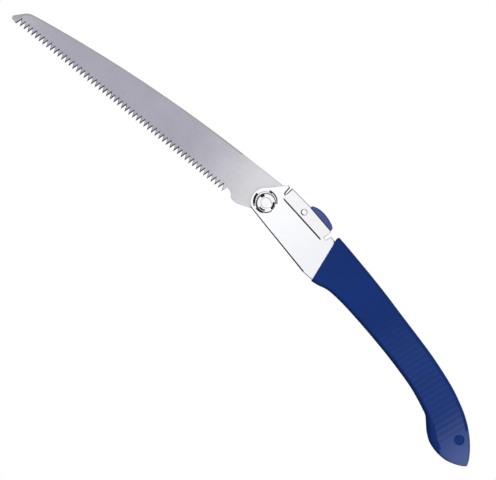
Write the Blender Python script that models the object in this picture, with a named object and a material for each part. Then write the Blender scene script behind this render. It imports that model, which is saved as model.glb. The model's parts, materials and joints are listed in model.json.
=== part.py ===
"""Folding pruning saw: a steel channel frame in a moulded grip, a folding blade and a lock lever.

Lengths are in millimetres here and become metres in the meshes. The design origin is the pivot
of the blade: +X runs back along the frame, +Y towards its spine and +Z out of its front side
plate. At the end the whole saw is moved so that it lies on Z = 0, centred on the world's origin.
"""
import math

import bmesh
import bpy
from mathutils import Vector

MM = 0.001
GAP = 0.3                            # clearance kept between pieces that touch

# Blade, in its own axes: X runs from the tip to the pivot
BLADE_ANGLE = 12.5                   # degrees from the blade's X axis to the frame's
BLADE_HALF = 0.65
SPINE_HEIGHT = 19.2                  # straight stretch of the back, above the pivot
SPINE_BOW_START = -38.0
SPINE_BOW_RADIUS = 1203.0
NOSE = [(-234.0, 3.0), (-237.0, 2.4), (-239.8, 0.7), (-247.0, -6.9), (-247.2, -8.3), (-246.0, -9.4)]
FIRST_TOOTH = (-241.4, -10.6)
LAST_TOOTH = (-33.2, -14.1)
TOOTH_COUNT = 56
TOOTH_DEPTH = 4.9
TOOTH_TRAIL = 0.42                   # share of the pitch between a tip and the gullet behind it
HEEL = [(-31.3, -9.0), (-28.0, -9.8), (-25.7, -11.6), (-25.0, -13.0), (-22.9, -14.2), (-18.6, -14.5),
        (-8.0, -10.8)]
TANG_RADIUS = 15.2                   # rim that the lug of the lock rides over
TANG_WAIST = 10.6                    # lower rim, hidden by the side plates
NOTCH_RADIUS = 13.5                  # floor of the notch that holds the blade open
NOTCH_START = 40.8                   # its angles round the pivot
NOTCH_END = 60.9
NOTCH_SLOPE = 1.4                    # its far side leans by this angle

# Frame
PLATE_INNER = 1.75                   # the side plates lie between these two heights, either side
PLATE_OUTER = 3.25
WEB_UNDERSIDE = 21.3
FRAME_TOP = 22.8
FRAME_BOTTOM = -11.9
FRAME_NOSE_RADIUS = 12.3
CUTOUT_START = 2.6
CUTOUT_END = 52.7
TAIL_END = 165.0
TAIL_BOTTOM = 3.0
TAIL_CHAMFER = 4.0
FRAME_FRONT = [(0.9, 22.7), (-2.1, 18.8), (-4.5, 15.2), (-7.0, 10.9)]
FRAME_NECK = [(60.0, FRAME_BOTTOM), (72.0, -9.8), (80.0, -4.0), (92.0, TAIL_BOTTOM)]
LEVER_WINDOW = [(52.9, FRAME_TOP), (52.4, 17.7), (42.6, 17.7), (40.6, 21.4), (17.0, 21.4), (15.8, 15.8),
                (5.8, 15.8), (4.4, 16.1), (3.65, 17.2), (2.9, 22.2)]
WINDOW_FLOOR = 10.0                  # how far down the web's opening is cut between the side plates

# Pivot
BOLT_RADIUS = 4.1
BUSH_INNER = BOLT_RADIUS + GAP
BUSH_OUTER = 5.4
PIVOT_HOLE = BUSH_OUTER + GAP
THRUST_WASHER_RADIUS = 9.0
THRUST_WASHER_SHEET = 0.5
CUP_RADIUS = 10.2
CUP_SHEET = 0.8
CUP_RIM = 1.6                        # height of the raised rim
NUT_FLANGE_RADIUS = 7.5
NUT_FLANGE_EDGE = 0.7
NUT_HEIGHT = 3.6
NUT_FLATS = 5.6                      # from the middle to a flat
NUT_TURN = 8.0
BOLT_END = 8.9
BOLT_HEAD = [(0.0, -7.0), (5.6, -7.0), (6.2, -6.4), (6.2, -5.0), (8.6, -4.7), (8.9, -4.2)]
KEY_FLATS = 2.9                      # hexagon socket in the bolt's head
KEY_FLOOR = -4.9

# Lock lever and the small cross pins
LEVER_PIN = (24.6, 18.7)
LEVER_PIN_RADIUS = 1.8
LEVER_INNER = PLATE_OUTER + GAP
LEVER_OUTER = LEVER_INNER + 1.2
LEVER_SHEET = 1.2
LEVER_TOP = [(50.2, 25.6), (23.0, 25.0), (4.5, 23.4)]
LEVER_FOOT = (7.8, 14.8)             # its rounded lower corners: centres and radii
LEVER_FOOT_RADIUS = 2.6
LEVER_HEEL = (48.2, 15.7)
LEVER_HEEL_RADIUS = 1.4
LUG = [(4.9, 14.75), (7.9, 13.35), (8.2, 22.15), (4.9, 21.85)]
BUTTON_BASE = [(24.9, 25.05 + GAP), (48.8, 25.57 + GAP)]
BUTTON_DOME = [(49.2, 26.6), (48.0, 28.2), (44.4, 29.5), (39.0, 30.2), (34.0, 30.1), (28.9, 28.9),
               (24.9, 26.6)]
BUTTON_HALF = 4.5
BUTTON_EDGE = 1.5                    # radius of its rounded edges
RIVET_HEAD = 2.75
STOP_PIN = (20.4, 16.5)
STOP_PIN_RADIUS = 1.5
ANCHOR_PIN = (36.0, 16.2)
ANCHOR_PIN_RADIUS = 1.0
PEG_PLACES = {"front": (31.0, 23.98), "rear": (44.0, 24.26)}
PEG_RADIUS = 1.2
SPRING_WIRE = 0.3                    # half the wire's thickness
SPRING_RADIUS = 2.6
SPRING_TURNS = 2.5
SPRING_HALF = 1.05                   # the coils lie between these heights, either side
SPRING_STEPS = 14                    # points in a turn
LOWER_LEG = [(38.5, 18.3), (31.5, 17.1)]
UPPER_LEG = [(31.0, 21.9), (36.0, 22.4), (39.6, 23.2)]

# Grip: matching points along its top and bottom edges, from the collar to the end of the pommel
GRIP_TOP = [(57.8, 26.3), (68.0, 27.5), (80.0, 27.7), (95.0, 27.7), (115.0, 27.5), (135.0, 26.6),
            (155.0, 25.7), (175.0, 24.7), (192.0, 23.1), (206.0, 21.2), (216.0, 18.6), (224.0, 16.5),
            (231.0, 13.9), (238.0, 10.4), (245.0, 5.9), (251.0, 1.4), (255.6, -2.8), (258.0, -5.6),
            (259.3, -7.8), (259.1, -9.2)]
GRIP_BOTTOM = [(69.8, -11.0), (75.8, -9.2), (84.0, -6.0), (97.0, -3.8), (115.0, -2.7), (133.5, -2.2),
               (152.0, -2.1), (170.0, -2.6), (184.0, -3.7), (195.5, -5.8), (203.0, -7.2), (208.5, -8.6),
               (213.0, -12.4), (219.0, -16.7), (227.0, -19.6), (236.0, -20.2), (244.5, -18.9),
               (251.0, -16.0), (255.8, -12.7), (258.1, -10.6)]
GRIP_HALF = 12.0
GRIP_COLLAR_HALF = 10.6
GRIP_END_HALF = 8.0
COLLAR_SHARE = 0.11                  # shares of its length over which it widens, and from which it narrows
POMMEL_SHARE = 0.60
GRIP_FLAT = 0.7                      # share of the height that is flat, the rest is rounded
GRIP_ROUND = 2.6                     # exponent of the rounded shoulders
POCKET_START = 40.0                  # cutters for the pocket and the slot start ahead of the grip
SLOT_HALF = 2.5
SLOT_CEILING = [(POCKET_START, 14.2), (243.0, 4.2), (248.8, 0.2)]
RECESS = (240.6, -0.4)
RECESS_RADIUS = 4.25
RECESS_DEPTH = 1.6
SCREWS = {"front": (84.0, 17.0), "middle": (150.0, 15.5), "rear": (214.0, 12.0)}
SCREW_RADIUS = 1.8
SCREW_HEAD_RADIUS = 3.6
SCREW_HEAD_TOP = -9.5
SCREW_HEAD_BOTTOM = -7.3
SCREW_TIP = 8.0
CROSS_LONG = 1.9                     # half sizes of the cross recess in each head
CROSS_SHORT = 0.45
CROSS_DEPTH = 1.1
SPACER_RADIUS = 3.4

DEEP = 40.0                          # cutters reach past every face


# ---------------------------------------------------------------- outlines

def arc(centre, radius, start, end, steps):
    """Points of an arc, with its angles in degrees."""
    points = []
    for step in range(steps + 1):
        angle = math.radians(start + (end - start) * step / steps)
        points.append((centre[0] + radius * math.cos(angle), centre[1] + radius * math.sin(angle)))
    return points


def smooth(points, steps):
    """A Catmull-Rom curve through the points, with so many steps from each to the next."""
    curve = []
    padded = [points[0]] + points + [points[-1]]
    for before, start, end, after in zip(padded, padded[1:], padded[2:], padded[3:]):
        for step in range(steps):
            t = step / steps
            weights = (-0.5 * t + t * t - 0.5 * t ** 3, 1 - 2.5 * t * t + 1.5 * t ** 3,
                       0.5 * t + 2 * t * t - 1.5 * t ** 3, -0.5 * t * t + 0.5 * t ** 3)
            curve.append(tuple(sum(w * p[axis] for w, p in zip(weights, (before, start, end, after)))
                               for axis in (0, 1)))
    curve.append(points[-1])
    return curve


def polar(radius, degrees):
    """A point at a distance and an angle from the pivot."""
    return (radius * math.cos(math.radians(degrees)), radius * math.sin(math.radians(degrees)))


def blade_back():
    """The back of the blade from the tang to the nose: straight, then an arc."""
    points = [(4.0, SPINE_HEIGHT), (SPINE_BOW_START, SPINE_HEIGHT)]
    reach = SPINE_BOW_START - NOSE[0][0]
    for step in range(1, 12):
        run = reach * step / 12
        sag = SPINE_BOW_RADIUS - math.sqrt(SPINE_BOW_RADIUS ** 2 - run ** 2)
        points.append((SPINE_BOW_START - run, SPINE_HEIGHT - sag))
    return points


def teeth():
    """Tips and gullets of the teeth, from the nose to the heel."""
    first, last = Vector(FIRST_TOOTH), Vector(LAST_TOOTH)
    pitch = (last - first) / (TOOTH_COUNT - 1)
    inwards = Vector((-pitch.y, pitch.x)).normalized() * TOOTH_DEPTH
    points = []
    for index in range(TOOTH_COUNT):
        tip = first + pitch * index
        points.append(tuple(tip))
        if index < TOOTH_COUNT - 1:
            points.append(tuple(tip + pitch * TOOTH_TRAIL + inwards))
    return points


def blade_outline():
    """The blade in its own axes, anticlockwise from the top of the tang."""
    tang = arc((0, 0), TANG_WAIST, -115, -70, 5)
    tang += arc((0, 0), TANG_RADIUS, -42, NOTCH_START, 9)
    notch = arc((0, 0), NOTCH_RADIUS, NOTCH_START, NOTCH_END - NOTCH_SLOPE, 2)
    shoulder = [polar(TANG_RADIUS, NOTCH_END), (7.2, 16.4), (6.2, 18.4)]
    return blade_back() + NOSE + teeth() + HEEL + tang + notch + shoulder


def frame_outline():
    """The side of the frame, anticlockwise from the low end of its nose."""
    nose = arc((0, 0), FRAME_NOSE_RADIUS, 142, 247, 12)
    tail = [(TAIL_END - TAIL_CHAMFER, TAIL_BOTTOM), (TAIL_END, TAIL_BOTTOM + TAIL_CHAMFER),
            (TAIL_END, FRAME_TOP)]
    return FRAME_FRONT + nose + FRAME_NECK + tail + LEVER_WINDOW


def tail_pocket():
    """The part of the frame that lies in the grip, one gap larger all round."""
    corner, bend, slope, tail = FRAME_NECK
    return [(POCKET_START, -DEEP), (corner[0], -DEEP), (bend[0] + GAP, bend[1] - 2 * GAP),
            (slope[0] + GAP, slope[1] - GAP), (tail[0], tail[1] - GAP), (TAIL_END + GAP, TAIL_BOTTOM - GAP),
            (TAIL_END + GAP, FRAME_TOP + GAP), (POCKET_START, FRAME_TOP + GAP)]


# ---------------------------------------------------------------- mesh tools

def material(name, colour, metallic, roughness):
    """A plain Principled material."""
    made = bpy.data.materials.new(name)
    made.use_nodes = True
    shader = made.node_tree.nodes["Principled BSDF"]
    shader.inputs["Base Color"].default_value = (*colour, 1.0)
    shader.inputs["Metallic"].default_value = metallic
    shader.inputs["Roughness"].default_value = roughness
    made.diffuse_color = (*colour, 1.0)
    return made


def finish_object(name, work, finish, parent):
    """Turn a bmesh into a named object under its parent, with its finish."""
    mesh = bpy.data.meshes.new(name)
    bmesh.ops.recalc_face_normals(work, faces=work.faces)
    bmesh.ops.scale(work, vec=(MM, MM, MM), verts=work.verts)
    work.to_mesh(mesh)
    work.free()
    made = bpy.data.objects.new(name, mesh)
    bpy.context.scene.collection.objects.link(made)
    if finish is not None:
        mesh.materials.append(finish)
    if parent is not None:
        made.parent = parent
        made.matrix_parent_inverse = world_matrix(parent).inverted()
    return made


def world_matrix(empty):
    """The world matrix of an empty, brought up to date."""
    bpy.context.view_layer.update()
    return empty.matrix_world.copy()


def prism(name, outline, low, high, finish=None, parent=None):
    """A flat outline extruded from one height to another."""
    work = bmesh.new()
    floor = [work.verts.new((x, y, low)) for x, y in outline]
    roof = [work.verts.new((x, y, high)) for x, y in outline]
    work.faces.new(list(reversed(floor)))
    work.faces.new(roof)
    for index in range(len(outline)):
        after = (index + 1) % len(outline)
        work.faces.new((floor[index], floor[after], roof[after], roof[index]))
    return finish_object(name, work, finish, parent)


def turned(name, profile, centre, finish=None, parent=None, segments=32):
    """A profile of (radius, height) points turned about a line along Z."""
    work = bmesh.new()
    rings = []
    for radius, height in profile:
        if radius == 0:
            rings.append([work.verts.new((centre[0], centre[1], height))])
            continue
        ring = arc(centre, radius, 0, 360, segments)[:-1]
        rings.append([work.verts.new((x, y, height)) for x, y in ring])
    pairs = list(zip(rings, rings[1:]))
    if profile[0][0] != 0:
        pairs.append((rings[-1], rings[0]))
    for lower, upper in pairs:
        for index in range(segments):
            after = (index + 1) % segments
            corners = [lower[index % len(lower)], lower[after % len(lower)],
                       upper[after % len(upper)], upper[index % len(upper)]]
            unique = list(dict.fromkeys(corners))
            if len(unique) > 2:
                work.faces.new(unique)
    made = finish_object(name, work, finish, parent)
    made.data.shade_smooth()
    made.data.set_sharp_from_angle(angle=math.radians(35))
    return made


def hexagon(flats, turn=0):
    """A hexagon by its distance from the middle to a flat."""
    return arc((0, 0), flats / math.cos(math.radians(30)), turn, turn + 360, 6)[:-1]


def combine(target, tool, operation="DIFFERENCE"):
    """Cut a tool out of the target or join it on, and hide the tool."""
    step = target.modifiers.new(tool.name, "BOOLEAN")
    step.operation = operation
    step.solver = "EXACT"
    step.object = tool
    tool.parent = target.parent
    tool.matrix_parent_inverse = target.matrix_parent_inverse.copy()
    tool.matrix_basis = target.matrix_basis.copy()
    tool.hide_render = True
    tool.display_type = "WIRE"
    tool.hide_set(True)


def drill(target, centre, radius, low=-DEEP, high=DEEP, segments=32):
    """A round hole along Z."""
    name = "cutter_%s_%d" % (target.name, len(target.modifiers))
    combine(target, turned(name, [(0, low), (radius, low), (radius, high), (0, high)], centre,
                           segments=segments))


def carve(target, outline, low, high):
    """A pocket with a flat outline."""
    name = "cutter_%s_%d" % (target.name, len(target.modifiers))
    combine(target, prism(name, outline, low, high))


def empty(name, place, parent):
    """An empty on a joint's axis."""
    made = bpy.data.objects.new(name, None)
    made.empty_display_size = 0.02
    bpy.context.scene.collection.objects.link(made)
    made.location = Vector((place[0], place[1], 0)) * MM
    made.parent = parent
    return made


# ---------------------------------------------------------------- blade and pivot

def build_blade(parent, steel):
    """The blade with its tang, turned about the pivot to the open position."""
    blade = prism("saw_blade", blade_outline(), -BLADE_HALF, BLADE_HALF, steel, parent)
    blade.rotation_euler.z = math.radians(BLADE_ANGLE)
    drill(blade, (0, 0), PIVOT_HOLE)


def build_pivot(parent, chrome, brass, nylon):
    """Bolt, bush, thrust washers, cup washer and nut."""
    ring = [(PIVOT_HOLE, 0.0), (THRUST_WASHER_RADIUS, 0.0),
            (THRUST_WASHER_RADIUS, THRUST_WASHER_SHEET), (PIVOT_HOLE, THRUST_WASHER_SHEET)]
    low = BLADE_HALF + GAP
    turned("thrust_washer_front", [(r, z + low) for r, z in ring], (0, 0), nylon, parent)
    turned("thrust_washer_back", [(r, -z - low) for r, z in reversed(ring)], (0, 0), nylon, parent)

    bush = [(BUSH_INNER, -PLATE_OUTER), (BUSH_OUTER, -PLATE_OUTER),
            (BUSH_OUTER, PLATE_OUTER), (BUSH_INNER, PLATE_OUTER)]
    turned("pivot_bush", bush, (0, 0), brass, parent)

    seat = PLATE_OUTER + GAP
    rim = seat + CUP_RIM
    floor = seat + CUP_SHEET
    cup = [(BUSH_INNER, seat), (CUP_RADIUS, seat), (CUP_RADIUS, rim - 0.4), (CUP_RADIUS - 0.5, rim),
           (CUP_RADIUS - 1.2, rim), (CUP_RADIUS - 1.5, floor), (BUSH_INNER, floor)]
    turned("pivot_cup_washer", cup, (0, 0), chrome, parent, segments=40)

    nut_low = floor + GAP
    edge = nut_low + NUT_FLANGE_EDGE
    nut = prism("pivot_nut", hexagon(NUT_FLATS, NUT_TURN), nut_low, nut_low + NUT_HEIGHT, chrome, parent)
    flange = [(0, nut_low), (NUT_FLANGE_RADIUS, nut_low), (NUT_FLANGE_RADIUS, edge),
              (NUT_FLANGE_RADIUS - 0.5, edge + 0.4), (0, edge + 0.7)]
    combine(nut, turned("nut_flange", flange, (0, 0), segments=40), "UNION")
    drill(nut, (0, 0), BUSH_INNER)

    shank = [(BOLT_HEAD[-1][0], -seat), (BOLT_RADIUS, -seat), (BOLT_RADIUS, BOLT_END - 0.7),
             (BOLT_RADIUS - 0.9, BOLT_END - 0.2), (0, BOLT_END)]
    bolt = turned("pivot_bolt", BOLT_HEAD + shank, (0, 0), chrome, parent)
    carve(bolt, hexagon(KEY_FLATS), -DEEP, KEY_FLOOR)


# ---------------------------------------------------------------- frame and its pins

def build_frame(parent, chrome):
    """The channel: one bent sheet, cut away under the lever, with its tail in the grip."""
    frame = prism("steel_frame", frame_outline(), -PLATE_OUTER, PLATE_OUTER, chrome, parent)
    inside = [(-DEEP, -DEEP), (TAIL_END + DEEP, -DEEP), (TAIL_END + DEEP, WEB_UNDERSIDE),
              (-DEEP, WEB_UNDERSIDE)]
    carve(frame, inside, -PLATE_INNER, PLATE_INNER)
    window = [(CUTOUT_START, WINDOW_FLOOR), (CUTOUT_END, WINDOW_FLOOR), (CUTOUT_END, DEEP),
              (CUTOUT_START, DEEP)]
    carve(frame, window, -PLATE_INNER, PLATE_INNER)
    drill(frame, (0, 0), PIVOT_HOLE)
    drill(frame, LEVER_PIN, LEVER_PIN_RADIUS + GAP, segments=20)
    drill(frame, STOP_PIN, STOP_PIN_RADIUS + GAP, segments=20)
    drill(frame, ANCHOR_PIN, ANCHOR_PIN_RADIUS + GAP, segments=20)
    for place in (SCREWS["front"], SCREWS["middle"]):
        drill(frame, place, SCREW_RADIUS + GAP, segments=20)


def build_cross_pins(parent, steel, chrome):
    """The lever's rivet, the blade's stop and the spring's anchor."""
    for name, place, radius in (("blade_stop_pin", STOP_PIN, STOP_PIN_RADIUS),
                                ("spring_anchor_pin", ANCHOR_PIN, ANCHOR_PIN_RADIUS)):
        ends = [(0, -PLATE_OUTER), (radius, -PLATE_OUTER), (radius, PLATE_OUTER), (0, PLATE_OUTER)]
        turned(name, ends, place, steel, parent, segments=20)
    seat = LEVER_OUTER + GAP
    side = [(LEVER_PIN_RADIUS, seat), (RIVET_HEAD, seat), (RIVET_HEAD - 0.3, seat + 0.7),
            (RIVET_HEAD - 1.25, seat + 1.2), (0, seat + 1.35)]
    profile = [(r, -z) for r, z in reversed(side)] + side
    turned("lever_pin", profile, LEVER_PIN, chrome, parent, segments=24)


def build_spring(parent, steel):
    """Torsion spring: coils round the lever's pin, and one leg each way towards the rear."""
    line = [Vector((x, y, -SPRING_HALF)) for x, y in LOWER_LEG]
    steps = int(SPRING_TURNS * SPRING_STEPS)
    coil = arc(LEVER_PIN, SPRING_RADIUS, -90, -90 - 360 * SPRING_TURNS, steps)
    for step, (x, y) in enumerate(coil):
        line.append(Vector((x, y, SPRING_HALF * (2 * step / steps - 1))))
    line += [Vector((x, y, SPRING_HALF)) for x, y in UPPER_LEG]
    curve = bpy.data.curves.new("lever_spring", "CURVE")
    curve.dimensions = "3D"
    curve.bevel_depth = SPRING_WIRE * MM
    curve.bevel_resolution = 2
    curve.use_fill_caps = True
    wire = curve.splines.new("POLY")
    wire.points.add(len(line) - 1)
    for point, place in zip(wire.points, line):
        point.co = (*(place * MM), 1.0)
    curve.materials.append(steel)
    spring = bpy.data.objects.new("lever_spring", curve)
    bpy.context.scene.collection.objects.link(spring)
    spring.parent = parent


# ---------------------------------------------------------------- lock lever

def build_lever(parent, chrome, steel, blue):
    """The pressed lever, the lug under its front end and the button with its two push nuts."""
    foot = arc(LEVER_FOOT, LEVER_FOOT_RADIUS, 180, 270, 5)
    heel = arc(LEVER_HEEL, LEVER_HEEL_RADIUS, 280, 360, 3)
    lever = prism("lock_lever", foot + heel + LEVER_TOP, -LEVER_OUTER, LEVER_OUTER, chrome, parent)
    under = [(x, y - LEVER_SHEET) for x, y in LEVER_TOP]
    rear = under[0][1]
    front = under[-1][1] - 0.8
    carve(lever, [(-DEEP, -DEEP), (2 * DEEP, -DEEP), (2 * DEEP, rear)] + under + [(-DEEP, front)],
          -LEVER_INNER, LEVER_INNER)
    drill(lever, LEVER_PIN, LEVER_PIN_RADIUS + GAP, segments=20)

    lug_half = PLATE_INNER - GAP
    prism("lock_lug", LUG, -lug_half, lug_half, steel, parent)
    build_button(parent, lever, blue, steel)


def build_button(parent, lever, blue, steel):
    """A domed button on the lever's web, with pegs through it and push nuts under it."""
    outline = BUTTON_BASE + smooth(BUTTON_DOME, 3)
    button = prism("thumb_button", outline, -BUTTON_HALF, BUTTON_HALF, blue, parent)
    edge = button.modifiers.new("rounded", "BEVEL")
    edge.width = BUTTON_EDGE * MM
    edge.segments = 3
    edge.limit_method = "ANGLE"
    edge.angle_limit = math.radians(50)
    for end, (x, underside) in PEG_PLACES.items():
        standing_hole(lever, (x, underside), PEG_RADIUS + GAP)
        peg = standing("peg_" + end, (x, underside), 0, PEG_RADIUS, -0.9, 2.6)
        combine(button, peg, "UNION")
        nut = standing("button_push_nut_" + end, (x, underside), PEG_RADIUS + GAP, 2.6,
                       -GAP - 0.4, -GAP, steel, parent)
        nut.data.shade_flat()


def standing(name, place, inner, outer, low, high, finish=None, parent=None):
    """A pin or a ring whose axis is along Y, at a place in the plane Z = 0."""
    profile = [(inner, low), (outer, low), (outer, high), (inner, high)]
    made = turned(name, profile, (0, 0), finish, parent, segments=20)
    for point in made.data.vertices:
        across, along, up = point.co
        point.co = (across + place[0] * MM, up + place[1] * MM, -along)
    return made


def standing_hole(target, place, radius):
    """A round hole along Y through the lever's web."""
    combine(target, standing("cutter_%s_%d" % (target.name, len(target.modifiers)), place, 0, radius,
                             -2.0, 6.0))


# ---------------------------------------------------------------- grip

def grip_section(top, bottom, half):
    """Points of one half of the grip's section, from its top edge round to its bottom edge."""
    middle = (Vector(top) + Vector(bottom)) / 2
    reach = (Vector(top) - Vector(bottom)) / 2
    points = []
    for side in (1, -1):
        shoulder = []
        for step in range(5):
            angle = math.radians(90 * step / 4)
            along = GRIP_FLAT + (1 - GRIP_FLAT) * abs(math.cos(angle)) ** (2 / GRIP_ROUND)
            out = half * abs(math.sin(angle)) ** (2 / GRIP_ROUND)
            place = middle + reach * side * along
            shoulder.append((place.x, place.y, max(out, GAP / 2)))
        points += shoulder if side == 1 else list(reversed(shoulder))
    return points


def grip_half_width(share):
    """Half the grip's thickness, from 0 at the collar to 1 at the end of the pommel."""
    if share < COLLAR_SHARE:
        return GRIP_COLLAR_HALF + (GRIP_HALF - GRIP_COLLAR_HALF) * share / COLLAR_SHARE
    if share > POMMEL_SHARE:
        fall = (share - POMMEL_SHARE) / (1 - POMMEL_SHARE)
        return GRIP_END_HALF + (GRIP_HALF - GRIP_END_HALF) * math.sqrt(max(0.0, 1 - fall ** 2.4))
    return GRIP_HALF


def grip_half(name, side, finish, parent):
    """One half of the grip, lofted between its top and bottom edges, before it is cut."""
    tops = smooth(GRIP_TOP, 2)
    bottoms = smooth(GRIP_BOTTOM, 2)
    work = bmesh.new()
    rings = []
    for index, (top, bottom) in enumerate(zip(tops, bottoms)):
        half = grip_half_width(index / (len(tops) - 1))
        rings.append([work.verts.new((x, y, side * z)) for x, y, z in grip_section(top, bottom, half)])
    for ring, after in zip(rings, rings[1:]):
        for index in range(len(ring)):
            beside = (index + 1) % len(ring)
            work.faces.new((ring[index], ring[beside], after[beside], after[index]))
    work.faces.new(rings[0])
    work.faces.new(rings[-1])
    made = finish_object(name, work, finish, parent)
    made.data.shade_smooth()
    made.data.set_sharp_from_angle(angle=math.radians(40))
    return made


def build_grip(parent, blue, steel):
    """The two halves with the frame's pocket, the blade's slot, the recess and the screw holes."""
    slot = [(POCKET_START, -DEEP), (SLOT_CEILING[-1][0], -DEEP)] + SLOT_CEILING[::-1]
    for name, side in (("grip_front_half", 1), ("grip_back_half", -1)):
        half = grip_half(name, side, blue, parent)
        carve(half, tail_pocket(), -LEVER_INNER, LEVER_INNER)
        carve(half, slot, -SLOT_HALF, SLOT_HALF)
        face = side * GRIP_HALF
        floor = face - side * RECESS_DEPTH
        drill(half, RECESS, RECESS_RADIUS, *sorted((floor, face * 2)), segments=24)
        for place in SCREWS.values():
            if side == 1:
                drill(half, place, SCREW_RADIUS + GAP, -1.0, SCREW_TIP + GAP, segments=20)
            else:
                drill(half, place, SCREW_RADIUS + GAP, segments=20)
                drill(half, place, SCREW_HEAD_RADIUS + GAP, -DEEP, SCREW_HEAD_BOTTOM - GAP, segments=24)
    build_screws(parent, steel)


def build_screws(parent, steel):
    """Cross-head screws from the back, and the sleeves on the two that pass the frame."""
    for end, place in SCREWS.items():
        neck = SCREW_HEAD_BOTTOM - 2 * GAP
        profile = [(0, SCREW_HEAD_TOP), (SCREW_HEAD_RADIUS - 1.0, SCREW_HEAD_TOP),
                   (SCREW_HEAD_RADIUS, SCREW_HEAD_TOP + 0.9), (SCREW_HEAD_RADIUS, neck),
                   (SCREW_RADIUS, neck), (SCREW_RADIUS, SCREW_TIP - 1.2), (SCREW_RADIUS / 2, SCREW_TIP),
                   (0, SCREW_TIP)]
        screw = turned("grip_screw_" + end, profile, place, steel, parent, segments=20)
        x, y = place
        for wide, tall in ((CROSS_LONG, CROSS_SHORT), (CROSS_SHORT, CROSS_LONG)):
            slot = [(x - wide, y - tall), (x + wide, y - tall), (x + wide, y + tall), (x - wide, y + tall)]
            carve(screw, slot, SCREW_HEAD_TOP - 1.0, SCREW_HEAD_TOP + CROSS_DEPTH)
        if end != "rear":
            length = PLATE_INNER - GAP
            sleeve = [(SCREW_RADIUS + GAP, -length), (SPACER_RADIUS, -length),
                      (SPACER_RADIUS, length), (SCREW_RADIUS + GAP, length)]
            turned("screw_spacer_" + end, sleeve, place, steel, parent, segments=20)


# ---------------------------------------------------------------- the saw

def lay_on_origin(root):
    """Move the whole saw so that its box is centred on the origin and stands on Z = 0."""
    bpy.context.view_layer.update()
    graph = bpy.context.evaluated_depsgraph_get()
    places = []
    for thing in bpy.context.scene.objects:
        if thing.type == "MESH" and not thing.hide_render:
            shape = thing.evaluated_get(graph)
            places += [shape.matrix_world @ point.co for point in shape.data.vertices]
    low = [min(place[axis] for place in places) for axis in range(3)]
    high = [max(place[axis] for place in places) for axis in range(3)]
    root.location = (-(low[0] + high[0]) / 2, -(low[1] + high[1]) / 2, -low[2])


def main():
    """Build every piece of the saw."""
    for old in list(bpy.data.objects):
        bpy.data.objects.remove(old)
    chrome = material("chrome", (0.90, 0.91, 0.93), 1.0, 0.12)
    steel = material("brushed_steel", (0.62, 0.62, 0.66), 1.0, 0.35)
    zinc = material("zinc_steel", (0.55, 0.56, 0.58), 1.0, 0.4)
    brass = material("brass", (0.72, 0.56, 0.28), 1.0, 0.35)
    nylon = material("white_nylon", (0.85, 0.85, 0.82), 0.0, 0.45)
    blue = material("blue_plastic", (0.012, 0.032, 0.170), 0.0, 0.42)
    button_blue = material("button_blue", (0.045, 0.075, 0.290), 0.0, 0.4)

    root = empty("saw_root", (0, 0), None)
    pivot = empty("blade_axis", (0, 0), root)
    lever_axis = empty("lever_axis", LEVER_PIN, root)
    build_blade(pivot, steel)
    build_pivot(root, chrome, brass, nylon)
    build_frame(root, chrome)
    build_cross_pins(root, zinc, chrome)
    build_spring(root, zinc)
    build_lever(lever_axis, chrome, zinc, button_blue)
    build_grip(root, blue, zinc)
    lay_on_origin(root)


main()
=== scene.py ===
"""Looks of the folding pruning saw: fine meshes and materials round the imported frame.

Shapes are in design millimetres until the last step. Their origin is the blade's pivot: +X runs back
along the frame, +Y towards its spine and +Z out of the side with the nut.
"""
import json
import math

import bmesh
import bpy
from mathutils import Matrix, Vector


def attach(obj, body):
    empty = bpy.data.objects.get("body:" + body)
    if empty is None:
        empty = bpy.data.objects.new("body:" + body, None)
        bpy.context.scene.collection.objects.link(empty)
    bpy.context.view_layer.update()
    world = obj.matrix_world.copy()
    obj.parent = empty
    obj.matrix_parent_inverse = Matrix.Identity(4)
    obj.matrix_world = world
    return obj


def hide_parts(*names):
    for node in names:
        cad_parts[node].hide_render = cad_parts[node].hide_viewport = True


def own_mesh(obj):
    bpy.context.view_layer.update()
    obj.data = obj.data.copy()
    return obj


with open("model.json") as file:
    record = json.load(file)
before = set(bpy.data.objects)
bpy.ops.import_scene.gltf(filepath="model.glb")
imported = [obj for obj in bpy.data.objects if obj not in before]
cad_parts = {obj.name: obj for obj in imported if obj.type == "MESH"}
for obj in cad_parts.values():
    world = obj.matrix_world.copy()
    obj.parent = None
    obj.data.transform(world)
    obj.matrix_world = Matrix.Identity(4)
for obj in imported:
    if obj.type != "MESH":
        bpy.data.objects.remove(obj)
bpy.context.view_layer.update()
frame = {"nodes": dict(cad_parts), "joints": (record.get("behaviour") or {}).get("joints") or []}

MM = 0.001
GAP = 0.3  # clearance between pieces that touch
PIVOT = Vector(next(joint["pos_m"] for joint in frame["joints"] if joint["name"] == "blade_fold"))
TO_WORLD = Matrix.Translation(PIVOT) @ Matrix.Diagonal((MM, MM, MM, 1.0))
DEEP = 40.0  # cutters reach past every face
GENTLE = 0.35  # sine of the turn below which a corner is inset along its middle

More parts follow.
